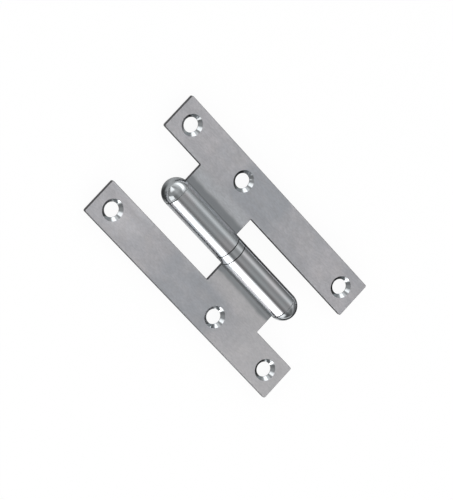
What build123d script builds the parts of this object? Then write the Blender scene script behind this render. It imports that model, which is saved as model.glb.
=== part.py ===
"""Lift-off hinge of H pattern: two equal rolled sheet leaves, a fixed pin and a bearing ring.

The hinge lies open on its back. The pin's axis runs along Y, the countersunk faces look up
along +Z and the back of the barrel touches z = 0. The upper leaf, with the free knuckle,
reaches to +X and the lower leaf, which holds the pin, reaches to -X. All sizes are in mm.
"""
from build123d import *
import math
import os

# Leaves
leaf_length = 80.0
open_width = 44.0
flange_width = 11.6
sheet = 1.2
knuckle_length = 22.6
corner_radius = 0.5
notch_radius = 0.3
front_edge_radius = 0.2

# Barrel
pin_diameter = 6.0
running_clearance = 0.08
ring_height = 2.8
edge_break = 0.15

# Roll: how far the leaf's front lies below the axis, and the step down to the roll
face_drop = 0.6
joggle_radius = 1.2
roll_gap = 0.1

# Domed ends, pin and plug
dome_height = 4.2
pin_lead = 1.0
seat_relief = 0.5
plug_depth = 5.0
plug_lead = 0.4
pin_to_plug = 0.6

# Screw holes
screw_hole = 4.4
countersink = 6.4
countersink_angle = 90
end_hole_inset = 6.0
middle_hole_y = 11.0

# Sizes that follow from the ones above
pin_radius = pin_diameter / 2
bore_radius = pin_radius + running_clearance
barrel_radius = bore_radius + sheet
axis_z = barrel_radius
front_z = axis_z - face_drop
back_z = front_z - sheet
half_length = leaf_length / 2
half_width = open_width / 2
flange_inner = half_width - flange_width
knuckle_start = ring_height / 2
knuckle_end = knuckle_start + knuckle_length
pin_end = knuckle_end - plug_depth - pin_to_plug
hole_x = flange_inner + flange_width / 2
hole_places = [half_length - end_hole_inset, middle_hole_y, end_hole_inset - half_length]

# The sheet's middle line steps down from the leaf to the roll over the arc of the joggle.
middle_drop = face_drop + sheet / 2
roll_radius = bore_radius + sheet / 2
joggle_z = axis_z - middle_drop - joggle_radius
joggle_x = math.sqrt((roll_radius + joggle_radius) ** 2 - (middle_drop + joggle_radius) ** 2)
joggle_angle = math.degrees(math.atan2(middle_drop + joggle_radius, joggle_x))
roll_end_angle = math.degrees(math.asin((face_drop - roll_gap) / barrel_radius))

os.makedirs("parts", exist_ok=True)

axis_plane = Plane.XY.offset(axis_z)
pin_axis = Axis((0, 0, axis_z), (0, 1, 0))


def on_circle(radius, angle):
    """Point on a circle about the pin's axis, the angle counted up from +X."""
    turn = math.radians(angle)
    return (radius * math.cos(turn), axis_z + radius * math.sin(turn))


def draw_rolled_section():
    """Web, joggle and roll of one sheet, cut across the barrel."""
    centre = (joggle_x, joggle_z)
    back_arc = joggle_radius - sheet / 2
    front_arc = joggle_radius + sheet / 2
    roll_sweep = 360 - joggle_angle + roll_end_angle
    with BuildLine() as outline:
        Line((flange_inner, front_z), (flange_inner, back_z))
        Line((flange_inner, back_z), (joggle_x, back_z))
        CenterArc(centre, back_arc, 90, 90 - joggle_angle)
        CenterArc((0, axis_z), barrel_radius, -joggle_angle, -roll_sweep)
        Line(on_circle(barrel_radius, -roll_end_angle), on_circle(bore_radius, -roll_end_angle))
        CenterArc((0, axis_z), bore_radius, -roll_end_angle, roll_sweep)
        CenterArc(centre, front_arc, 180 - joggle_angle, joggle_angle - 90)
        Line((joggle_x, front_z), (flange_inner, front_z))
    make_face(outline.edges())


def draw_dome_half(base_y, outward):
    """Half section of a domed head on a knuckle's end, with its rim's edge broken."""
    rise = dome_height - edge_break
    sphere = (barrel_radius ** 2 + rise ** 2) / (2 * rise)
    half_turn = math.asin(barrel_radius / sphere) / 2
    tip = (0, base_y + outward * dome_height)
    middle = (sphere * math.sin(half_turn), tip[1] - outward * sphere * (1 - math.cos(half_turn)))
    rim = (barrel_radius, base_y + outward * edge_break)
    foot = (barrel_radius - edge_break, base_y)
    with BuildLine() as outline:
        ThreePointArc(tip, middle, rim)
        Line(rim, foot)
        Line(foot, (0, base_y))
        Line((0, base_y), tip)
    make_face(outline.edges())


def draw_shank_half(radius, start_y, end_y, lead):
    """Half section of a round shank whose far end carries a lead-in chamfer."""
    toward = math.copysign(lead, end_y - start_y)
    with BuildLine() as outline:
        Line((0, start_y), (radius, start_y))
        Line((radius, start_y), (radius, end_y - toward))
        Line((radius, end_y - toward), (radius - lead, end_y))
        Line((radius - lead, end_y), (0, end_y))
        Line((0, end_y), (0, start_y))
    make_face(outline.edges())


with BuildPart() as upper_leaf:
    # rolled knuckle with its web, drawn across the barrel and run along it
    with BuildSketch(Plane(origin=(0, knuckle_end, 0), x_dir=(1, 0, 0), z_dir=(0, -1, 0))):
        draw_rolled_section()
    extrude(amount=knuckle_length)
    knuckle_rims = [
        edge
        for edge in upper_leaf.edges().filter_by(GeomType.CIRCLE)
        if abs(edge.radius - barrel_radius) < 0.001
    ]
    chamfer(knuckle_rims, length=edge_break)
    # flange along the whole length
    with BuildSketch(Plane.XY.offset(back_z)):
        with Locations((hole_x, 0)):
            Rectangle(flange_width, leaf_length)
    extrude(amount=sheet)
    # rounded outer corners
    flange_corners = [
        edge
        for edge in upper_leaf.edges().filter_by(Axis.Z)
        if abs(edge.center().Y) > knuckle_end + 1
    ]
    fillet(flange_corners, radius=corner_radius)
    # small rounds in the notches, where the web leaves the flange
    notch_corners = [
        edge
        for edge in upper_leaf.edges().filter_by(Axis.Z)
        if abs(edge.center().X - flange_inner) < 0.001 and edge.center().Y > 0
    ]
    fillet(notch_corners, radius=notch_radius)
    # front edges, softened by the stamping
    front_face = upper_leaf.faces().filter_by(Axis.Z).sort_by(Axis.Z)[-1]
    front_rim = [edge for edge in front_face.edges() if edge.center().X > joggle_x + 0.1]
    fillet(front_rim, radius=front_edge_radius)
    # screw holes, countersunk from the front
    with Locations([(hole_x, y, front_z) for y in hole_places]):
        CounterSinkHole(
            radius=screw_hole / 2,
            counter_sink_radius=countersink / 2,
            counter_sink_angle=countersink_angle,
        )
upper_leaf.part.label = "upper_leaf"

with BuildPart() as lower_leaf:
    # the same stamping, turned end for end
    add(upper_leaf.part, rotation=(0, 0, 180))
lower_leaf.part.label = "lower_leaf"

with BuildPart() as hinge_pin:
    # domed head under the lower knuckle
    with BuildSketch(axis_plane):
        draw_dome_half(-knuckle_end, -1)
    revolve(axis=pin_axis)
    # seat pressed into the lower knuckle
    with BuildSketch(axis_plane):
        draw_shank_half(bore_radius, -knuckle_end, -knuckle_start - seat_relief, running_clearance)
    revolve(axis=pin_axis)
    # free length through the ring and into the upper knuckle
    with BuildSketch(axis_plane):
        draw_shank_half(pin_radius, -knuckle_end, pin_end, pin_lead)
    revolve(axis=pin_axis)
hinge_pin.part.label = "hinge_pin"

with BuildPart() as bearing_ring:
    with BuildSketch(Plane(origin=(0, knuckle_start, axis_z), x_dir=(1, 0, 0), z_dir=(0, -1, 0))):
        Circle(barrel_radius)
        Circle(bore_radius, mode=Mode.SUBTRACT)
    extrude(amount=ring_height)
    outer_rims = [
        edge
        for edge in bearing_ring.edges().filter_by(GeomType.CIRCLE)
        if abs(edge.radius - barrel_radius) < 0.001
    ]
    chamfer(outer_rims, length=edge_break)
bearing_ring.part.label = "bearing_ring"

with BuildPart() as upper_plug:
    # domed head over the upper knuckle
    with BuildSketch(axis_plane):
        draw_dome_half(knuckle_end, 1)
    revolve(axis=pin_axis)
    # shank pressed into the upper knuckle
    with BuildSketch(axis_plane):
        draw_shank_half(bore_radius, knuckle_end, knuckle_end - plug_depth, plug_lead)
    revolve(axis=pin_axis)
upper_plug.part.label = "upper_plug"

export_step(upper_leaf.part, "parts/upper_leaf.step")
export_step(lower_leaf.part, "parts/lower_leaf.step")
export_step(hinge_pin.part, "parts/hinge_pin.step")
export_step(bearing_ring.part, "parts/bearing_ring.step")
export_step(upper_plug.part, "parts/upper_plug.step")
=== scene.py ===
"""Looks of a lift-off hinge: satin leaves, a polished barrel and a plain photo studio.

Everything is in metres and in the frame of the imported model: +Y runs along the pin from the
lower knuckle to the upper one, +X towards the upper leaf, and +Z out of the countersunk faces.
"""
import logging
import math
from dataclasses import dataclass, field
from enum import Enum
from functools import reduce
from typing import Any, Union

import bmesh
import bpy
from mathutils import Matrix, Quaternion, Vector

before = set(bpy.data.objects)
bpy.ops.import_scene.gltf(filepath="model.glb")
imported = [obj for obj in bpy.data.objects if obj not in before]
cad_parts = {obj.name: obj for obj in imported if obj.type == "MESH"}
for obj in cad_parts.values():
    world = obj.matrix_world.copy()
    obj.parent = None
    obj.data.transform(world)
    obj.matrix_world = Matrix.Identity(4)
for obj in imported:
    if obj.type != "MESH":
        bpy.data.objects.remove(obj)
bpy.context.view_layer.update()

log = logging.getLogger("hinge")

MM = 0.001
Triple = tuple[float, float, float]
Colour = Triple
Span = tuple[float, float]
Value = Union["Num", float]
Tint = Union[Colour, bpy.types.NodeSocket]

BLACK: Colour = (0.0, 0.0, 0.0)
WHITE: Colour = (1.0, 1.0, 1.0)


class Side(Enum):
    """Which way a leaf reaches from the pin."""

    UPPER = 1
    LOWER = -1


@dataclass(frozen=True)
class Num:
    """A number that varies over a surface; arithmetic on it adds Math nodes."""

    recipe: "Recipe"
    socket: bpy.types.NodeSocket

    def _join(self, operation: str, first: Value, second: Value = 0.0) -> "Num":
        """Add one Math node.

        Args:
            operation: Name of the Math node's operation.
            first: Left operand.
            second: Right operand.

        Returns:
            The node's result.
        """
        node = self.recipe.node("ShaderNodeMath", {"operation": operation}, {0: first, 1: second})
        return Num(self.recipe, node.outputs[0])

    def __add__(self, other: Value) -> "Num":
        """Sum."""
        return self._join("ADD", self, other)

    __radd__ = __add__

    def __sub__(self, other: Value) -> "Num":
        """Difference."""
        return self._join("SUBTRACT", self, other)

    def __rsub__(self, other: Value) -> "Num":
        """Difference with the number on the right."""
        return self._join("SUBTRACT", other, self)

    def __mul__(self, other: Value) -> "Num":
        """Product."""
        return self._join("MULTIPLY", self, other)

    __rmul__ = __mul__

    def __pow__(self, other: Value) -> "Num":
        """Power."""
        return self._join("POWER", self, other)

    def over_angle(self, other: Value) -> "Num":
        """Angle in radians whose tangent is this number over the other."""
        return self._join("ARCTAN2", self, other)

    def root(self) -> "Num":
        """Square root."""
        return self._join("SQRT", self)

    def least(self, other: Value) -> "Num":
        """Smaller of two numbers."""
        return self._join("MINIMUM", self, other)

    def most(self, other: Value) -> "Num":
        """Larger of two numbers."""
        return self._join("MAXIMUM", self, other)

    def size(self) -> "Num":
        """Distance from zero."""
        return self._join("ABSOLUTE", self)

    def length_with(self, other: "Num") -> "Num":
        """Length of the line whose two sides are this number and the other."""
        return (self * self + other * other).root()

    def toward(self, target: Value, share: "Num") -> "Num":
        """This number where the share is 0, the target where it is 1."""
        return self + share * (target - self)

    def step(self, low: float, high: float) -> "Num":
        """Smooth step.

        Args:
            low: Value at which the step is 0.
            high: Value at which the step is 1.

        Returns:
            A number from 0 to 1.
        """
        rising = low < high
        node = self.recipe.node(
            "ShaderNodeMapRange",
            {"interpolation_type": "SMOOTHSTEP"},
            {
                "Value": self,
                "From Min": min(low, high),
                "From Max": max(low, high),
                "To Min": 0.0 if rising else 1.0,
                "To Max": 1.0 if rising else 0.0,
            },
        )
        return Num(self.recipe, node.outputs["Result"])

    def step_near(self, place: float, off: Span) -> "Num":
        """Smooth step whose ends are given as offsets from a place."""
        return self.step(place + off[0], place + off[1])


@dataclass(frozen=True)
class Pattern:
    """A soft random pattern, with its repeats per metre along each axis."""

    scale: Triple
    layers: float = 2.0
    layer_strength: float = 0.5


@dataclass(frozen=True)
class Stain:
    """How a pattern lays down a colour: its values at none and at all of it, and the share."""

    none_at: float
    all_at: float
    share: float = 1.0

    def over(self, pattern: Num) -> Num:
        """Share that is laid down at each place."""
        return pattern.step(self.none_at, self.all_at) * self.share


def rgba(colour: Tint) -> Any:
    """Colour with its alpha, or the link as it is."""
    return (*colour, 1.0) if isinstance(colour, tuple) else colour


class Recipe:
    """Node tree of one finish, read in Object coordinates."""

    def __init__(self, tree: bpy.types.NodeTree) -> None:
        """Start with an empty tree.

        Args:
            tree: Node tree of a material or a world.
        """
        self.tree = tree
        tree.nodes.clear()

    def node(
        self,
        kind: str,
        settings: dict[str, Any] | None = None,
        sockets: dict[str | int, Any] | None = None,
    ) -> bpy.types.Node:
        """Add a node.

        Args:
            kind: Blender's node type.
            settings: Properties that are set first; "stops" fills a colour ramp.
            sockets: Value or link of each input, by name or number.

        Returns:
            The new node.
        """
        made = self.tree.nodes.new(kind)
        for name, value in (settings or {}).items():
            if name == "stops":
                self._fill_ramp(made.color_ramp, value)
            else:
                setattr(made, name, value)
        for key, value in (sockets or {}).items():
            if isinstance(value, Num):
                value = value.socket
            if isinstance(value, bpy.types.NodeSocket):
                self.tree.links.new(value, made.inputs[key])
            else:
                made.inputs[key].default_value = value
        return made

    @staticmethod
    def _fill_ramp(ramp: bpy.types.ColorRamp, stops: list[tuple[float, Colour]]) -> None:
        """Give a colour ramp its stops.

        Args:
            ramp: The node's ramp.
            stops: Position and colour of each stop, in order.
        """
        while len(ramp.elements) < len(stops):
            ramp.elements.new(1.0)
        for element, (place, colour) in zip(ramp.elements, stops):
            element.position = place
            element.color = rgba(colour)

    def place(self) -> bpy.types.NodeSocket:
        """Object coordinates, which are the model's frame here."""
        return self.node("ShaderNodeTexCoord").outputs["Object"]

    def split(self, vector: bpy.types.NodeSocket) -> tuple[Num, Num, Num]:
        """Three parts of a vector."""
        parts = self.node("ShaderNodeSeparateXYZ", None, {0: vector}).outputs
        return Num(self, parts[0]), Num(self, parts[1]), Num(self, parts[2])

    def join(self, x: Value, y: Value, z: Value) -> bpy.types.NodeSocket:
        """Vector of three numbers."""
        return self.node("ShaderNodeCombineXYZ", None, {0: x, 1: y, 2: z}).outputs[0]

    def noise(self, place: bpy.types.NodeSocket, pattern: Pattern, shift: Triple) -> Num:
        """Random number from 0 to 1 with its mean near one half.

        Args:
            place: Coordinates that the pattern lies in.
            pattern: Scale and layers of the pattern.
            shift: Offset that makes each piece's pattern its own.

        Returns:
            The pattern's value.
        """
        mapping = {"Vector": place, "Scale": pattern.scale, "Location": shift}
        sockets = {
            "Vector": self.node("ShaderNodeMapping", None, mapping).outputs[0],
            "Scale": 1.0,
            "Detail": pattern.layers,
            "Roughness": pattern.layer_strength,
        }
        return Num(self, self.node("ShaderNodeTexNoise", None, sockets).outputs["Fac"])

    def profile(self, value: Num, points: tuple[Span, ...]) -> Num:
        """Brightness that runs straight from point to point.

        Args:
            value: Number that runs along the points.
            points: Value and brightness of each point, in order.

        Returns:
            The brightness.
        """
        start, end = points[0][0], points[-1][0]
        stops = [((at - start) / (end - start), (level,) * 3) for at, level in points]
        share = (value - start) * (1.0 / (end - start))
        return Num(self, self.node("ShaderNodeValToRGB", {"stops": stops}, {0: share}).outputs[0])

    def blend(self, share: Value, first: Tint, second: Tint) -> bpy.types.NodeSocket:
        """Mix two colours.

        Args:
            share: 0 gives the first colour, 1 the second.
            first: Colour or link.
            second: Colour or link.

        Returns:
            The mixed colour.
        """
        sockets = {0: share, 6: rgba(first), 7: rgba(second)}
        return self.node("ShaderNodeMix", {"data_type": "RGBA"}, sockets).outputs[2]

    def grey(self, shade: Num) -> bpy.types.NodeSocket:
        """Neutral colour of one brightness."""
        return self.blend(shade, BLACK, WHITE)

    def bump(
        self,
        height: Num,
        depth: float,
        strength: float = 1.0,
        under: bpy.types.NodeSocket | None = None,
    ) -> bpy.types.NodeSocket:
        """Surface relief.

        Args:
            height: Pattern from 0 to 1.
            depth: Height of the full pattern in metres.
            strength: Share of the relief that shows.
            under: Normal of a relief below this one.

        Returns:
            The bent normal.
        """
        sockets: dict[str | int, Any] = {"Strength": strength, "Distance": depth, "Height": height}
        if under is not None:
            sockets["Normal"] = under
        return self.node("ShaderNodeBump", None, sockets).outputs[0]

    def metal(
        self,
        colour: bpy.types.NodeSocket,
        roughness: Value,
        normal: bpy.types.NodeSocket,
        film: dict[str, Value] | None = None,
    ) -> None:
        """Finish the tree with a metal surface.

        Args:
            colour: Base colour.
            roughness: Base roughness.
            normal: Bent normal.
            film: Coat sockets of a clear film, where the metal has one.
        """
        sockets = {"Base Color": colour, "Metallic": 1.0, "Roughness": roughness, "Normal": normal}
        shader = self.node("ShaderNodeBsdfPrincipled", None, sockets | (film or {}))
        self.node("ShaderNodeOutputMaterial", None, {"Surface": shader.outputs[0]})

    def shine(self, colour: Tint, level: float) -> None:
        """Finish the tree with a glowing surface.

        Args:
            colour: Colour of the glow, with white as its brightest.
            level: Brightness of white.
        """
        sockets = {"Color": rgba(colour), "Strength": level}
        glow = self.node("ShaderNodeEmission", None, sockets)
        self.node("ShaderNodeOutputMaterial", None, {"Surface": glow.outputs[0]})


def new_material(name: str) -> tuple[bpy.types.Material, Recipe]:
    """Make an empty material and its recipe.

    Args:
        name: Name of the finish.

    Returns:
        The material and the recipe that fills it.
    """
    material = bpy.data.materials.new(name)
    material.use_nodes = True
    return material, Recipe(material.node_tree)


@dataclass(frozen=True)
class HingeSizes:
    """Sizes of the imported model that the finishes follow."""

    barrel_radius: float = 4.28 * MM
    axis_z: float = 4.28 * MM
    front_z: float = 3.68 * MM
    back_z: float = 2.48 * MM
    hole_x: float = 16.2 * MM
    hole_places: tuple[float, ...] = (34 * MM, 11 * MM, -34 * MM)
    countersink_radius: float = 3.2 * MM
    seam_places: tuple[float, ...] = (-24 * MM, -1.4 * MM, 1.4 * MM, 24 * MM)


@dataclass(frozen=True)
class SeamShade:
    """Painted shade in the grooves where the barrel's pieces meet.

    The painted shade is dark at the ring and lighter at the domes, away from their -X side, and
    the grooves are rougher. The limits of the mask are offsets from a groove's middle and from the
    barrel's surface.
    """

    sizes: HingeSizes = HingeSizes()
    off_middle: Span = (0.17 * MM, 0.14 * MM)
    off_barrel: Span = (0.005 * MM, -0.015 * MM)
    dome_y: Span = (10 * MM, 12 * MM)
    lighter_x: Span = (-2.2 * MM, -1.0 * MM)
    # Painted shade in the grooves: very dark at the ring, lighter at the domes
    ring_shade: Colour = (0.035, 0.035, 0.036)
    dome_shade: Colour = (0.50, 0.51, 0.52)
    roughness: float = 0.6

    def mask(self, y: Num, radius: Num) -> Num:
        """Mask of the grooves.

        Args:
            y: Place along the pin.
            radius: Distance from the pin's axis.

        Returns:
            A number that is 1 in a groove.
        """
        nearest = reduce(Num.least, [(y - seam_y).size() for seam_y in self.sizes.seam_places])
        low = radius.step_near(self.sizes.barrel_radius, self.off_barrel)
        return low * nearest.step(*self.off_middle)

    def colour(self, recipe: Recipe, x: Num, y: Num) -> bpy.types.NodeSocket:
        """Find the colour of the painted shade.

        Args:
            recipe: Recipe that takes the nodes.
            x: Place across the hinge.
            y: Place along the pin.

        Returns:
            The colour at each place.
        """
        at_dome = y.size().step(*self.dome_y) * x.step(*self.lighter_x)
        return recipe.blend(at_dome, self.ring_shade, self.dome_shade)


@dataclass(frozen=True)
class LeafWearAndLight:
    """What differs between the finishes and the painted light and shade of the two leaves.

    The lights, which are painted light, and the tints are shares of a colour that is laid over the
    satin. The buffed colour is painted shade from the barrel, darker than the satin, and the
    knuckle shade is painted shade on the knuckle's outer side, which is its side towards the leaf.
    The film is the weight of a clear coat.
    """

    # Shares of painted light beside the buffed strip and near the lower end
    strip_light: float
    end_light: float
    web_tint: float
    middle_tint: float
    middle_y: Span
    # Colour of the buffed strip, darkened as painted shade from the barrel
    buffed_and_shaded: Colour
    buffed_width: float
    # Share of painted shade on the knuckle's outer side
    knuckle_shade: float
    knuckle_roughness: float
    outer_roughness: float
    film: float


WEAR_AND_LIGHT = {
    Side.UPPER: LeafWearAndLight(
        strip_light=0.10,
        end_light=0.0,
        web_tint=0.75,
        middle_tint=0.70,
        middle_y=(-5 * MM, 12 * MM),
        buffed_and_shaded=(0.575, 0.605, 0.630),
        buffed_width=2.6 * MM,
        knuckle_shade=0.35,
        knuckle_roughness=0.19,
        outer_roughness=0.12,
        film=0.0,
    ),
    Side.LOWER: LeafWearAndLight(
        strip_light=1.0,
        end_light=0.6,
        web_tint=0.0,
        middle_tint=0.65,
        middle_y=(-12 * MM, 12 * MM),
        buffed_and_shaded=(0.720, 0.750, 0.775),
        buffed_width=1.8 * MM,
        knuckle_shade=0.0,
        knuckle_roughness=0.11,
        outer_roughness=0.0,
        film=1.0,
    ),
}


@dataclass(frozen=True)
class LeafZones:
    """Places and patterns on one leaf that its colour, roughness and relief share.

    Outward is the distance from the pin's plane towards the leaf's edge, and reach is the same
    with a soft wave. The zones are numbers from 0 to 1.
    """

    x: Num
    y: Num
    z: Num
    outward: Num
    reach: Num
    knuckle: Num
    turned: Num
    sheared: Num
    buffed_and_shaded: Num
    seam: Num
    streaks: Num
    clouds: Num
    patches: Num
    ripple: Num


@dataclass(frozen=True)
class StampedLeafFinish:
    """Satin sheet with a polished knuckle, turned countersinks and sheared edges.

    A buffed strip lies beside the knuckle, painted darker as shade from the barrel. Painted shade
    lies in the crease where the leaf meets the knuckle and on the knuckle's side towards the leaf,
    and painted light on the satin beyond the strip and near the lower end. Limits that are named
    after a face or an edge are offsets from it.
    """

    side: Side
    sizes: HingeSizes = HingeSizes()
    # Painted shade in the barrel's seam grooves
    seam_shade: SeamShade = SeamShade()
    pattern_shift: Triple = (3.7, 1.9, 0.6)

    # Where the zones begin and end
    knuckle_edge: Span = (0.10 * MM, 0.04 * MM)
    countersink_edge: Span = (0.03 * MM, -0.01 * MM)
    sheared_from_back: Span = (0.02 * MM, 0.05 * MM)
    sheared_from_front: Span = (-0.005 * MM, -0.02 * MM)
    buffed_edge: Span = (0.65 * MM, -0.65 * MM)
    buffed_from_front: Span = (-0.10 * MM, -0.05 * MM)
    wave: Pattern = Pattern((60, 170, 60))
    wave_width: float = 1.6 * MM

    # Patterns, longer along the pin than across it where they follow the brushing
    brush: Pattern = Pattern((9000, 70, 9000), 2, 0.6)
    streaks: Pattern = Pattern((1100, 22, 1100), 3, 0.55)
    clouds: Pattern = Pattern((75, 55, 75))
    patches: Pattern = Pattern((170, 120, 170), 3, 0.6)
    mottle: Pattern = Pattern((560, 330, 560), 3, 0.6)
    grain: Pattern = Pattern((2600, 900, 2600), 2, 0.6)
    ripple: Pattern = Pattern((330, 110, 330))

    # Satin faces
    satin: Colour = (0.965, 0.945, 0.970)
    satin_cool: Colour = (0.745, 0.770, 0.815)
    satin_warm: Colour = (0.980, 0.955, 0.950)
    satin_web: Colour = (0.900, 0.935, 0.970)
    # Colour of the painted light beside the buffed strip and near the lower end
    satin_light: Colour = (0.980, 0.970, 0.980)
    satin_dark: Colour = (0.500, 0.505, 0.520)
    cool_clouds: Stain = Stain(0.64, 0.36, 0.30)
    cool_patches: Stain = Stain(0.62, 0.38, 0.20)
    cool_everywhere: float = 0.05
    middle_soft: Span = (-3 * MM, 3 * MM)
    middle_outward: Span = (8 * MM, 12 * MM)
    warm_streaks: Stain = Stain(0.30, 0.80, 0.25)
    warm_patches: Stain = Stain(0.50, 0.75, 0.25)
    web_end: Span = (12 * MM, 8 * MM)
    # Where the painted light lies
    strip_light_width: float = 7.0 * MM
    end_light_y: Span = (-14 * MM, -26 * MM)
    light_hides_dark: float = 0.5
    dark_mottle: Stain = Stain(0.30, 0.70, 0.19)
    dark_grain: Stain = Stain(0.25, 0.75, 0.24)

    # Buffed strip, painted darker as shade, and painted shade in the crease
    # The buffed strip's colours are painted shade from the barrel, darker than the satin
    buffed_dark_shade: Colour = (0.470, 0.500, 0.530)
    buffed_streaks: Stain = Stain(0.25, 0.75)
    buffed_patches: Stain = Stain(0.35, 0.65, 0.5)
    # Painted shade in the crease where the leaf meets the knuckle; also used on the knuckle
    crease_shade: Colour = (0.20, 0.205, 0.21)
    crease_from_knuckle: Span = (0.52 * MM, 0.156 * MM)
    crease_from_back: Span = (0.5 * MM, 0.6 * MM)
    crease_share: float = 0.7

    # Countersinks, knuckle and sheared edges
    polished: Colour = (0.67, 0.70, 0.72)
    polished_cool: Colour = (0.660, 0.700, 0.725)
    polished_warm: Colour = (0.700, 0.695, 0.715)
    warm_ripple: Stain = Stain(0.35, 0.65)
    # Where painted shade lies on the knuckle's outer side
    shade_outward: Span = (3.1 * MM, 3.6 * MM)
    shade_from_front: Span = (0.0, 0.2 * MM)
    sheared: Colour = (0.20, 0.20, 0.205)

    # Roughness of each zone
    satin_roughness: float = 0.70
    streak_roughness: float = 0.16
    cloud_roughness: float = 0.10
    buffed_roughness: float = 0.30
    outer_start: Span = (1.0 * MM, 3.0 * MM)
    turned_roughness: float = 0.08
    sheared_roughness: float = 0.60

    # Relief
    brush_depth: float = 0.006 * MM
    streak_relief: float = 0.25
    buffed_away: float = 0.8
    ripple_depth: float = 0.005 * MM

    # Clear film on the satin, from these places towards the lower end
    film_y: Span = (-3 * MM, -8 * MM)
    film_roughness: float = 0.22
    film_index: float = 1.8

    @property
    def wear_and_light(self) -> LeafWearAndLight:
        """Values that only this leaf has."""
        return WEAR_AND_LIGHT[self.side]

    @property
    def shift(self) -> Triple:
        """Offset of this leaf's patterns."""
        return tuple(part * self.side.value for part in self.pattern_shift)

    @property
    def buffed_end(self) -> float:
        """Distance from the pin at which the buffed strip ends."""
        return self.wear_and_light.buffed_width + self.sizes.barrel_radius

    def material(self) -> bpy.types.Material:
        """Build the finish.

        Returns:
            The leaf's material.
        """
        material, r = new_material(f"stamped_{self.side.name.lower()}_leaf")
        place = r.place()
        zones = self._zones(r, place)
        film = {
            "Coat Weight": self._film(zones),
            "Coat Roughness": self.film_roughness,
            "Coat IOR": self.film_index,
        }
        colour = self._colour(r, place, zones)
        r.metal(colour, self._roughness(zones), self._relief(r, place, zones), film)
        return material

    def _zones(self, r: Recipe, place: bpy.types.NodeSocket) -> LeafZones:
        """Find the leaf's zones and shared patterns.

        Args:
            r: Recipe of the finish.
            place: Object coordinates.

        Returns:
            The zones.
        """
        s = self.sizes
        x, y, z = r.split(place)
        from_axis = x.length_with(z - s.axis_z)
        outward = x * self.side.value
        reach = outward + (r.noise(place, self.wave, self.shift) - 0.5) * self.wave_width

        knuckle = from_axis.step_near(s.barrel_radius, self.knuckle_edge)
        turned = self._hole_distance(x, y).step_near(s.countersink_radius, self.countersink_edge)
        between_faces = z.step_near(s.back_z, self.sheared_from_back)
        between_faces = between_faces * z.step_near(s.front_z, self.sheared_from_front)
        buffed_and_shaded = reach.step_near(self.buffed_end, self.buffed_edge) * (1 - knuckle)
        return LeafZones(
            x=x,
            y=y,
            z=z,
            outward=outward,
            reach=reach,
            knuckle=knuckle,
            turned=turned,
            sheared=between_faces * (1 - knuckle) * (1 - turned),
            buffed_and_shaded=buffed_and_shaded * z.step_near(s.front_z, self.buffed_from_front),
            seam=self.seam_shade.mask(y, from_axis),
            streaks=r.noise(place, self.streaks, self.shift),
            clouds=r.noise(place, self.clouds, self.shift),
            patches=r.noise(place, self.patches, self.shift),
            ripple=r.noise(place, self.ripple, self.shift),
        )

    def _hole_distance(self, x: Num, y: Num) -> Num:
        """Distance to the nearest screw hole's axis.

        Args:
            x: Place across the hinge.
            y: Place along the hinge.

        Returns:
            The distance in metres.
        """
        sign = self.side.value
        across = x - self.sizes.hole_x * sign
        distances = [across.length_with(y - hole_y * sign) for hole_y in self.sizes.hole_places]
        return reduce(Num.least, distances)

    def _colour(
        self, r: Recipe, place: bpy.types.NodeSocket, zones: LeafZones
    ) -> bpy.types.NodeSocket:
        """Lay the colours of all zones over one another.

        Args:
            r: Recipe of the finish.
            place: Object coordinates.
            zones: The leaf's zones.

        Returns:
            The leaf's colour.
        """
        # The buffed strip is smoother and painted darker, as shade from the barrel
        colour = r.blend(zones.buffed_and_shaded, self._satin(r, place, zones), self._buffed_and_shaded(r, zones))
        # Painted shade in the crease beside the knuckle
        crease_shade = zones.outward.step_near(self.sizes.barrel_radius, self.crease_from_knuckle)
        crease_shade = crease_shade * (1 - zones.knuckle)
        crease_shade = crease_shade * zones.z.step_near(self.sizes.back_z, self.crease_from_back)
        colour = r.blend(crease_shade * self.crease_share, colour, self.crease_shade)
        colour = r.blend(zones.knuckle, colour, self._knuckle(r, zones))
        colour = r.blend(zones.turned, colour, self.polished)
        colour = r.blend(zones.sheared, colour, self.sheared)
        # Painted shade in the seam grooves
        return r.blend(zones.seam, colour, self.seam_shade.colour(r, zones.x, zones.y))

    def _satin(
        self, r: Recipe, place: bpy.types.NodeSocket, zones: LeafZones
    ) -> bpy.types.NodeSocket:
        """Colour of the brushed faces: cool and warm areas, bands of painted light and fine dark
        grain.

        Args:
            r: Recipe of the finish.
            place: Object coordinates.
            zones: The leaf's zones.

        Returns:
            The satin colour.
        """
        wear_and_light, y = self.wear_and_light, zones.y
        middle_start, middle_end = wear_and_light.middle_y
        soft_in, soft_out = self.middle_soft
        middle = y.step(middle_start + soft_in, middle_start + soft_out)
        middle = middle * y.step(middle_end + soft_out, middle_end + soft_in)
        middle = middle * zones.outward.step(*self.middle_outward)
        cool = self.cool_clouds.over(zones.clouds) + self.cool_patches.over(zones.patches)
        cool = (cool + middle * wear_and_light.middle_tint + self.cool_everywhere).least(1.0)
        warm = self.warm_streaks.over(zones.streaks) + self.warm_patches.over(zones.patches)
        tint = r.blend(cool, self.satin, self.satin_cool)
        tint = r.blend(warm, tint, self.satin_warm)
        tint = r.blend(zones.reach.step(*self.web_end) * wear_and_light.web_tint, tint, self.satin_web)

        # Painted light beside the buffed strip and towards the lower end
        beside = zones.reach.step(self.buffed_end + self.strip_light_width, self.buffed_end)
        light = (beside * wear_and_light.strip_light).most(y.step(*self.end_light_y) * wear_and_light.end_light)
        tint = r.blend(light, tint, self.satin_light)

        shown = 1 - light * self.light_hides_dark
        mottle = self.dark_mottle.over(r.noise(place, self.mottle, self.shift))
        grain = self.dark_grain.over(r.noise(place, self.grain, self.shift))
        tint = r.blend(mottle * shown, tint, self.satin_dark)
        return r.blend(grain * shown, tint, self.satin_dark)

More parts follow.
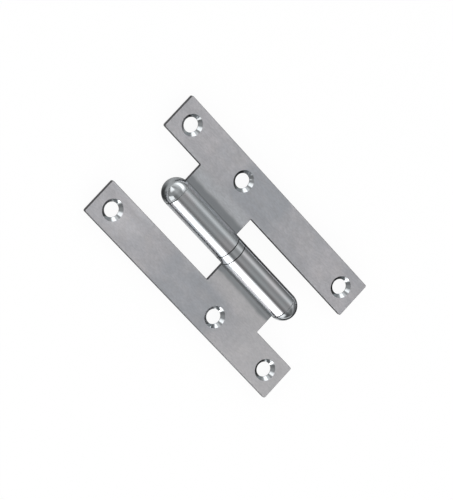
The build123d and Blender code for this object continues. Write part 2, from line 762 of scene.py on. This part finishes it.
    def _buffed_and_shaded(self, r: Recipe, zones: LeafZones) -> bpy.types.NodeSocket:
        """Colour of the buffed strip: painted shade from the barrel, darker than the satin,
        streaked along the pin.

        Args:
            r: Recipe of the finish.
            zones: The leaf's zones.

        Returns:
            The strip's colour.
        """
        streaks = self.buffed_streaks.over(zones.streaks)
        worn = r.blend(streaks, self.buffed_dark_shade, self.wear_and_light.buffed_and_shaded)
        return r.blend(self.buffed_patches.over(zones.patches), worn, self.wear_and_light.buffed_and_shaded)

    def _knuckle(self, r: Recipe, zones: LeafZones) -> bpy.types.NodeSocket:
        """Colour of the polished knuckle, with painted shade on its outer side above the leaf.

        Args:
            r: Recipe of the finish.
            zones: The leaf's zones.

        Returns:
            The knuckle's colour.
        """
        ripple = self.warm_ripple.over(zones.ripple)
        polished = r.blend(ripple, self.polished_cool, self.polished_warm)
        # Painted shade on the knuckle's outer side, above the leaf
        shaded = zones.outward.step(*self.shade_outward)
        shaded = shaded * zones.z.step_near(self.sizes.front_z, self.shade_from_front)
        return r.blend(shaded * self.wear_and_light.knuckle_shade, polished, self.crease_shade)

    def _roughness(self, zones: LeafZones) -> Num:
        """Roughness of the leaf.

        Args:
            zones: The leaf's zones.

        Returns:
            The roughness at each place.
        """
        satin = self.satin_roughness + (zones.streaks - 0.5) * self.streak_roughness
        satin = satin + (zones.clouds - 0.5) * self.cloud_roughness
        outer = zones.outward.step(*self.outer_start) * self.wear_and_light.outer_roughness
        roughness = satin.toward(self.buffed_roughness, zones.buffed_and_shaded)
        roughness = roughness.toward(self.wear_and_light.knuckle_roughness + outer, zones.knuckle)
        roughness = roughness.toward(self.turned_roughness, zones.turned)
        roughness = roughness.toward(self.sheared_roughness, zones.sheared)
        return roughness.toward(self.seam_shade.roughness, zones.seam)

    def _relief(
        self, r: Recipe, place: bpy.types.NodeSocket, zones: LeafZones
    ) -> bpy.types.NodeSocket:
        """Brush marks on the satin and a faint ripple on the knuckle.

        Args:
            r: Recipe of the finish.
            place: Object coordinates.
            zones: The leaf's zones.

        Returns:
            The bent normal.
        """
        marks = r.noise(place, self.brush, self.shift) + zones.streaks * self.streak_relief
        marks = marks * (1 - zones.knuckle.most(zones.turned))
        marks = marks * (1 - zones.buffed_and_shaded * self.buffed_away)
        brushed = r.bump(marks, self.brush_depth)
        return r.bump(zones.ripple * zones.knuckle, self.ripple_depth, under=brushed)

    def _film(self, zones: LeafZones) -> Num:
        """Weight of the clear film on the satin, which shines at a low angle."""
        bare = (1 - zones.knuckle) * (1 - zones.turned) * (1 - zones.sheared)
        return bare * self.wear_and_light.film * zones.y.step(*self.film_y)


@dataclass(frozen=True)
class TurnedSteelFinish:
    """Polished steel turned about the pin's axis: fine rings that follow the turning."""

    name: str
    shift: float
    sizes: HingeSizes = HingeSizes()
    # Painted shade in the barrel's seam grooves
    seam_shade: SeamShade = SeamShade()
    colour: Colour = (0.67, 0.70, 0.72)
    roughness: float = 0.13
    cloud_roughness: float = 0.05
    rings: Pattern = Pattern((7000, 7000, 1), 2, 0.6)
    clouds: Pattern = Pattern((260, 260, 260))
    ring_depth: float = 0.0012 * MM
    ring_strength: float = 0.5

    def material(self) -> bpy.types.Material:
        """Build the finish, with painted shade in the seams between the barrel's pieces.

        Returns:
            The turned steel material.
        """
        material, r = new_material(self.name)
        place = r.place()
        x, y, z = r.split(place)
        shift = (self.shift, 0, 0)
        radius = x.length_with(z - self.sizes.axis_z)
        rings = r.noise(r.join(radius, y, 0.0), self.rings, shift)
        clouds = r.noise(place, self.clouds, shift)
        seam = self.seam_shade.mask(y, radius)
        # Painted shade in the seams
        colour = r.blend(seam, self.colour, self.seam_shade.colour(r, x, y))
        roughness = self.roughness + (clouds - 0.5) * self.cloud_roughness
        roughness = roughness.toward(self.seam_shade.roughness, seam)
        r.metal(colour, roughness, r.bump(rings, self.ring_depth, self.ring_strength))
        return material


def set_finish(piece: bpy.types.Object, material: bpy.types.Material) -> None:
    """Put one material on a piece.

    Args:
        piece: Object that takes the finish.
        material: The finish.
    """
    piece.data.materials.clear()
    piece.data.materials.append(material)


@dataclass
class Leaf:
    """One stamped leaf: flange, web and rolled knuckle in one sheet."""

    side: Side
    node: str

    def dress(self) -> bpy.types.Object:
        """Give the leaf its finish.

        Returns:
            The leaf's object.
        """
        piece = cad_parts[self.node]
        set_finish(piece, StampedLeafFinish(self.side).material())
        return piece


@dataclass
class BarrelParts:
    """The turned pieces of the barrel, with the shift of each one's pattern."""

    shifts: dict[str, float] = field(
        default_factory=lambda: {"hinge_pin": 1.0, "bearing_ring": 5.0, "upper_plug": 9.0}
    )

    def dress(self) -> list[bpy.types.Object]:
        """Give each turned piece its finish.

        Returns:
            The dressed objects.
        """
        dressed = []
        for node, shift in self.shifts.items():
            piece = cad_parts[node]
            set_finish(piece, TurnedSteelFinish(f"turned_{node}", shift).material())
            dressed.append(piece)
        return dressed


def object_from(mesh: bmesh.types.BMesh, name: str) -> bpy.types.Object:
    """Turn a bmesh into an object at the origin.

    Args:
        mesh: Finished bmesh; it is freed.
        name: Name of the object and its mesh.

    Returns:
        The object.
    """
    data = bpy.data.meshes.new(name)
    mesh.to_mesh(data)
    mesh.free()
    made = bpy.data.objects.new(name, data)
    bpy.context.scene.collection.objects.link(made)
    return made


def unit_sheet(columns: int, rows: int) -> bmesh.types.BMesh:
    """Square sheet of 1 by 1, flat about the origin.

    Args:
        columns: Number of faces along X.
        rows: Number of faces along Y.

    Returns:
        The sheet.
    """
    sheet = bmesh.new()
    bmesh.ops.create_grid(sheet, x_segments=columns, y_segments=rows, size=0.5)
    return sheet


def show_in_reflections_only(piece: bpy.types.Object) -> None:
    """Let only reflected rays meet a stage piece.

    Args:
        piece: Object that nothing but reflections shows.
    """
    piece.visible_camera = False
    piece.visible_diffuse = False
    piece.visible_shadow = False
    piece.visible_transmission = False
    piece.visible_volume_scatter = False


@dataclass(frozen=True)
class SoftBox:
    """A soft lamp that faces the hinge and that reflections don't show."""

    name: str
    direction: Triple
    distance: float
    width: float
    height: float
    radiance: float

    def build(self, centre: Vector) -> bpy.types.Object:
        """Place the lamp.

        Args:
            centre: Point that the lamp faces.

        Returns:
            The lamp.
        """
        data = bpy.data.lights.new(self.name, "AREA")
        data.shape = "RECTANGLE"
        data.size = self.width
        data.size_y = self.height
        data.energy = math.pi * self.width * self.height * self.radiance
        lamp = bpy.data.objects.new(self.name, data)
        outward = Vector(self.direction).normalized()
        lamp.location = centre + outward * self.distance
        lamp.rotation_mode = "QUATERNION"
        lamp.rotation_quaternion = outward.to_track_quat("Z", "Y")
        lamp.visible_camera = False
        lamp.visible_glossy = False
        bpy.context.scene.collection.objects.link(lamp)
        return lamp


@dataclass(frozen=True)
class TentLight:
    """A lit patch of the tent, with soft edges.

    Its place is given by the turn about the pin, in degrees from straight up towards -X, and
    by the share of the direction that points along the pin, from -1 to 1. A slanted patch
    shifts by so many degrees for each unit along the pin.
    """

    turn: Span
    along: Span
    level: float
    soft_turn: float
    soft_along: float
    slant: float = 0.0
    slant_from: float = -0.42

    def glow(self, turn: Num, along: Num) -> Num:
        """Brightness that the patch adds.

        Args:
            turn: Turn about the pin in degrees.
            along: Share of the direction along the pin.

        Returns:
            The added brightness.
        """
        half_turn, half_along = self.soft_turn / 2, self.soft_along / 2
        if self.slant:
            turn = turn + (along - self.slant_from) * self.slant
        shade = turn.step_near(self.turn[0], (-half_turn, half_turn))
        shade = shade * turn.step_near(self.turn[1], (half_turn, -half_turn))
        shade = shade * along.step_near(self.along[0], (-half_along, half_along))
        shade = shade * along.step_near(self.along[1], (half_along, -half_along))
        return shade * self.level


@dataclass
class LightTent:
    """A round light tent over the hinge that only reflections see.

    The cloth's glow changes with the turn about the pin, so that the polished barrel shows
    soft bands along its length, and a few lamps shine through it. The cloth's points give the
    turn in degrees and the brightness. Left is the lower leaf's side, and rear the side of the
    upper dome. At the lower end the cloth is darker.
    """

    cloth: tuple[Span, ...] = (
        (-120, 0.12), (-92, 0.17), (-80, 0.22), (-71, 0.33), (-61, 0.54), (-52, 0.68),
        (-45, 0.68), (-36, 0.46), (-27, 0.33), (-18, 0.29), (-4, 0.345), (8, 0.38),
        (17, 0.29), (27, 0.20), (36, 0.18), (60, 0.20), (120, 0.18),
    )
    low_left: TentLight = TentLight(
        turn=(44, 92), along=(-0.80, -0.18), level=1.00, soft_turn=18, soft_along=0.16, slant=8
    )
    right_rear: TentLight = TentLight(
        turn=(-72, -40), along=(-0.05, 0.92), level=0.95, soft_turn=14, soft_along=0.40,
        slant=40, slant_from=0.20,
    )
    past_upper_dome: TentLight = TentLight(
        turn=(2, 56), along=(0.76, 1.10), level=1.05, soft_turn=26, soft_along=0.22
    )
    low_right: TentLight = TentLight(
        turn=(-86, -60), along=(-0.20, 0.80), level=0.20, soft_turn=20, soft_along=0.60
    )
    wide_rear: TentLight = TentLight(
        turn=(-40, 80), along=(0.30, 0.80), level=0.12, soft_turn=30, soft_along=0.40
    )
    dark_end: Span = (-0.55, -0.85)
    dark_share: float = 0.45
    brightness: float = 1.06
    top_level: float = 2.0
    radius: float = 1.0
    fineness: int = 4

    def build(self, centre: Vector) -> bpy.types.Object:
        """Set up the tent.

        Args:
            centre: Middle of the hinge.

        Returns:
            The tent.
        """
        wall = bmesh.new()
        bmesh.ops.create_icosphere(wall, subdivisions=self.fineness, radius=self.radius)
        bmesh.ops.translate(wall, vec=centre, verts=wall.verts)
        piece = object_from(wall, "light_tent")
        set_finish(piece, self._cloth(centre))
        show_in_reflections_only(piece)
        return piece

    def _cloth(self, centre: Vector) -> bpy.types.Material:
        """Tent cloth with its lamps.

        Args:
            centre: Middle of the hinge.

        Returns:
            The cloth's material.
        """
        material, r = new_material("tent_cloth")
        x, y, z = r.split(r.place())
        turn = (-1.0 * x).over_angle(z - centre.z) * math.degrees(1.0)
        along = (y - centre.y) * (1.0 / self.radius)
        glow = r.profile(turn, self.cloth) * (1 - along.step(*self.dark_end) * self.dark_share)
        side_lamps = (self.low_left, self.right_rear, self.low_right)
        rear_lamps = (self.past_upper_dome, self.wide_rear)
        for lamp in side_lamps + rear_lamps:
            glow = glow + lamp.glow(turn, along)
        r.shine(r.grey(glow * (self.brightness / self.top_level)), self.top_level)
        return material


@dataclass
class StripLamp:
    """Bright strip in front of the tent's cloth that only reflections see.

    Its place is given in the same way as a TentLight's.
    """

    turn: Span = (54, 89)
    along: Span = (-0.54, -0.33)
    distance: float = 0.95
    level: float = 3.0
    columns: int = 8
    rows: int = 6

    def build(self, centre: Vector) -> bpy.types.Object:
        """Hang the strip up, bent about the hinge.

        Args:
            centre: Middle of the hinge.

        Returns:
            The strip.
        """
        strip = unit_sheet(self.columns, self.rows)
        for vert in strip.verts:
            turn = math.radians(self._between(self.turn, vert.co.x + 0.5))
            along = self._between(self.along, vert.co.y + 0.5)
            aside = math.sqrt(1 - along * along)
            toward = Vector((-math.sin(turn) * aside, along, math.cos(turn) * aside))
            vert.co = centre + toward * self.distance
        piece = object_from(strip, "strip_lamp")
        material, r = new_material("strip_lamp")
        r.shine(WHITE, self.level)
        set_finish(piece, material)
        show_in_reflections_only(piece)
        return piece

    @staticmethod
    def _between(limits: Span, share: float) -> float:
        """Value at a share of the way from the first limit to the second."""
        return limits[0] + (limits[1] - limits[0]) * share


@dataclass(frozen=True)
class DomeGround:
    """Painted light and shadow on the paper close around one domed end.

    The shades fade out between the two distances of the reach, which are longer by a factor
    on the right, and they start a little inside of the dome's place along the pin.
    """

    dome_y: float
    left_shade: float
    right_shade: float
    reach: Span
    right_reach: float = 1.0
    side_change: Span = (-5 * MM, 5 * MM)
    start: Span = (-4 * MM, 2 * MM)

    def cover(self, shade: Num, x: Num, y: Num) -> Num:
        """Lay the shades over the paper's own.

        Args:
            shade: Shade of the paper so far.
            x: Place across the hinge.
            y: Place along the hinge.

        Returns:
            The shade with the dome's surroundings laid over it.
        """
        outward = math.copysign(1.0, self.dome_y)
        right = x.step(*self.side_change)
        distance = x.length_with(y - self.dome_y) * (1 - right * (1 - 1 / self.right_reach))
        near = distance.step(self.reach[1], self.reach[0])
        near = near * y.step_near(self.dome_y, (self.start[0] * outward, self.start[1] * outward))
        own = self.left_shade + right * (self.right_shade - self.left_shade)
        return shade.toward(own, near)


@dataclass
class GroundPaper:
    """Grey paper under the hinge that only reflections see.

    It takes real light and the hinge's own shadow, and its grey is painted with light and shadow
    as well. It is painted light in the gap between the upper knuckle and the lower leaf, painted
    white outside the lower leaf near the lower end, and painted dark on the upper leaf's side,
    left of the upper dome and round the lower one. Far out it is painted dark, except towards the
    main lamp and past the upper dome. The points across the hinge give the place and the shade.
    The limits of the far areas are shares of the direction along each axis.
    """

    radius: float = 1.02
    edge_points: int = 64
    lift: float = 0.02 * MM
    across: tuple[Span, ...] = (
        (-60 * MM, 0.45), (-13 * MM, 0.50), (-11 * MM, 0.75), (-5 * MM, 0.75),
        (4 * MM, 0.17), (10 * MM, 0.15), (40 * MM, 0.16),
    )
    rear_shade: float = 0.40
    rear_start: Span = (21 * MM, 27 * MM)
    # Painted shadow and light round the domes
    upper_dome: DomeGround = DomeGround(
        dome_y=25 * MM, left_shade=0.06, right_shade=0.50, reach=(8 * MM, 18 * MM)
    )
    lower_dome: DomeGround = DomeGround(
        dome_y=-34 * MM, left_shade=0.05, right_shade=0.045, reach=(18 * MM, 30 * MM),
        right_reach=1.4,
    )
    beyond_leaf_shade: float = 1.0
    beyond_leaf_x: Span = (-17 * MM, -23 * MM)
    beyond_leaf_y: Span = (-12 * MM, -20 * MM)
    far_start: Span = (45 * MM, 200 * MM)
    far_shade: float = 0.16
    lit_far_shade: float = 0.48
    lit_x: Span = (-0.25, -0.65)
    lit_y: Span = (0.10, -0.30)
    behind_y: Span = (0.15, 0.60)

    def build(self) -> bpy.types.Object:
        """Lay the paper on the floor.

        Returns:
            The paper.
        """
        sheet = bmesh.new()
        bmesh.ops.create_circle(
            sheet, cap_ends=True, segments=self.edge_points, radius=self.radius
        )
        bmesh.ops.translate(sheet, vec=(0, 0, self.lift), verts=sheet.verts)
        piece = object_from(sheet, "ground_paper")
        material, r = new_material("ground_paper")
        matt = r.node(
            "ShaderNodeBsdfPrincipled",
            None,
            {"Base Color": r.grey(self._shade(r)), "Roughness": 1.0, "Specular IOR Level": 0.0},
        )
        r.node("ShaderNodeOutputMaterial", None, {"Surface": matt.outputs[0]})
        set_finish(piece, material)
        show_in_reflections_only(piece)
        return piece

    def _shade(self, r: Recipe) -> Num:
        """Shade of the paper, painted with light and shadow.

        Args:
            r: Recipe of the paper.

        Returns:
            The shade at each place.
        """
        x, y, _ = r.split(r.place())
        # Painted light and shadow, laid over the paper's real light
        shade = r.profile(x, self.across)
        shade = shade.toward(self.rear_shade, y.step(*self.rear_start))
        beyond = x.step(*self.beyond_leaf_x) * y.step(*self.beyond_leaf_y)
        shade = shade.toward(self.beyond_leaf_shade, beyond)

        distance = x.length_with(y).most(MM)
        outward = distance ** -1.0
        lit = (x * outward).step(*self.lit_x) * (y * outward).step(*self.lit_y)
        behind = (y * outward).step(*self.behind_y)
        far = self.far_shade + lit * (self.lit_far_shade - self.far_shade)
        far = far + behind * (self.rear_shade - self.far_shade)
        shade = shade.toward(far, distance.step(*self.far_start))
        return self.lower_dome.cover(self.upper_dome.cover(shade, x, y), x, y)


@dataclass(frozen=True)
class ReflectorCard:
    """White card that stands upright along the pin and that only reflections see."""

    name: str
    card_x: float
    card_y: Span
    card_z: Span
    level: float

    def build(self) -> bpy.types.Object:
        """Stand the card up.

        Returns:
            The card.
        """
        (near, far), (low, high) = self.card_y, self.card_z
        sheet = unit_sheet(1, 1)
        bmesh.ops.scale(sheet, vec=(high - low, far - near, 1.0), verts=sheet.verts)
        bmesh.ops.rotate(sheet, matrix=Matrix.Rotation(math.pi / 2, 3, "Y"), verts=sheet.verts)
        middle = Vector((self.card_x, (near + far) / 2, (low + high) / 2))
        bmesh.ops.translate(sheet, vec=middle, verts=sheet.verts)
        piece = object_from(sheet, self.name)
        material, r = new_material(self.name)
        r.shine(WHITE, self.level)
        set_finish(piece, material)
        show_in_reflections_only(piece)
        return piece


@dataclass
class Studio:
    """Pale floor, white surroundings, soft lamps and what the reflections show."""

    floor_half: float = 2.5
    floor_colour: Colour = (0.86, 0.86, 0.86)
    floor_glow: float = 0.94
    surroundings: float = 1.0
    centre: Vector = field(default_factory=lambda: Vector((0, 0, HingeSizes().axis_z)))
    key_box: SoftBox = SoftBox(
        "key_box", direction=(-0.85, -0.45, 0.42), distance=0.90, width=0.95, height=0.52,
        radiance=1.7,
    )
    rear_left_box: SoftBox = SoftBox(
        "rear_left_box", direction=(-0.43, 0.78, 0.44), distance=0.9, width=0.3, height=0.3,
        radiance=1.5,
    )
    rear_right_box: SoftBox = SoftBox(
        "rear_right_box", direction=(0.79, 0.55, 0.27), distance=0.9, width=0.3, height=0.3,
        radiance=1.5,
    )
    long_card: ReflectorCard = ReflectorCard(
        "long_card", card_x=-40 * MM, card_y=(-44 * MM, -15 * MM), card_z=(0.0, 9 * MM), level=3.0
    )
    dome_card: ReflectorCard = ReflectorCard(
        "dome_card", card_x=-13 * MM, card_y=(23 * MM, 30 * MM), card_z=(7.5 * MM, 18 * MM),
        level=1.2,
    )

    def build(self) -> list[bpy.types.Object]:
        """Build the whole studio.

        Returns:
            Everything that stands in it.
        """
        pieces = [self._floor()]
        self._world()
        for box in (self.key_box, self.rear_left_box, self.rear_right_box):
            pieces.append(box.build(self.centre))
        pieces.append(LightTent().build(self.centre))
        pieces.append(StripLamp().build(self.centre))
        pieces.append(GroundPaper().build())
        pieces.append(self.long_card.build())
        pieces.append(self.dome_card.build())
        return pieces

    def _floor(self) -> bpy.types.Object:
        """Lay a plain pale floor that stays white behind the hinge and keeps its shadow.

        Returns:
            The floor.
        """
        sheet = bmesh.new()
        bmesh.ops.create_grid(sheet, x_segments=1, y_segments=1, size=self.floor_half)
        floor = object_from(sheet, "floor")
        material, r = new_material("floor_paper")
        rays = r.node("ShaderNodeLightPath").outputs
        seen = Num(r, rays["Is Camera Ray"]).most(Num(r, rays["Is Glossy Ray"]))
        seen = seen.most(Num(r, rays["Is Transmission Ray"]))
        matt = r.node("ShaderNodeBsdfDiffuse", None, {"Color": rgba(self.floor_colour)})
        glow = r.node("ShaderNodeEmission", None, {"Color": rgba(WHITE), "Strength": 1.0})
        mixed = r.node(
            "ShaderNodeMixShader",
            None,
            {0: seen * self.floor_glow, 1: matt.outputs[0], 2: glow.outputs[0]},
        )
        r.node("ShaderNodeOutputMaterial", None, {"Surface": mixed.outputs[0]})
        set_finish(floor, material)
        return floor

    def _world(self) -> None:
        """White surroundings."""
        world = bpy.data.worlds.new("surroundings")
        world.use_nodes = True
        bpy.context.scene.world = world
        r = Recipe(world.node_tree)
        sockets = {"Color": rgba(WHITE), "Strength": self.surroundings}
        sky = r.node("ShaderNodeBackground", None, sockets)
        r.node("ShaderNodeOutputWorld", None, {"Surface": sky.outputs[0]})


@dataclass
class PhotoCamera:
    """Camera at the photograph's viewing angle, fitted to the leaf edges and the barrel."""

    location: Triple = (-0.1188497, 0.321546, 0.6878336)
    aim: Triple = (-0.000784, 0.000791, 0.00428)
    roll_deg: float = 114.55198
    focal_px: float = 2729.3
    picture_height: int = 500
    sensor: float = 36.0
    nearest: float = 0.05
    farthest: float = 10.0

    def build(self) -> bpy.types.Object:
        """Place the camera.

        Returns:
            The camera.
        """
        data = bpy.data.cameras.new("photo_camera")
        data.sensor_width = self.sensor
        data.lens = self.focal_px / self.picture_height * self.sensor
        data.clip_start = self.nearest
        data.clip_end = self.farthest
        camera = bpy.data.objects.new("photo_camera", data)
        ahead = (Vector(self.aim) - Vector(self.location)).normalized()
        level = ahead.to_track_quat("-Z", "Y")
        camera.location = self.location
        camera.rotation_mode = "QUATERNION"
        camera.rotation_quaternion = Quaternion(-ahead, math.radians(self.roll_deg)) @ level
        bpy.context.scene.collection.objects.link(camera)
        bpy.context.scene.camera = camera
        return camera


def main() -> None:
    """Dress the hinge and build the studio."""
    logging.basicConfig(level=logging.INFO, format="%(name)s: %(message)s")
    bpy.context.scene.view_settings.view_transform = "Standard"
    for leaf in (Leaf(Side.UPPER, "upper_leaf"), Leaf(Side.LOWER, "lower_leaf")):
        log.info("dressed %s", leaf.dress().name)
    for piece in BarrelParts().dress():
        log.info("dressed %s", piece.name)
    for piece in Studio().build() + [PhotoCamera().build()]:
        log.info("placed %s", piece.name)


if __name__ == "__main__":
    main()
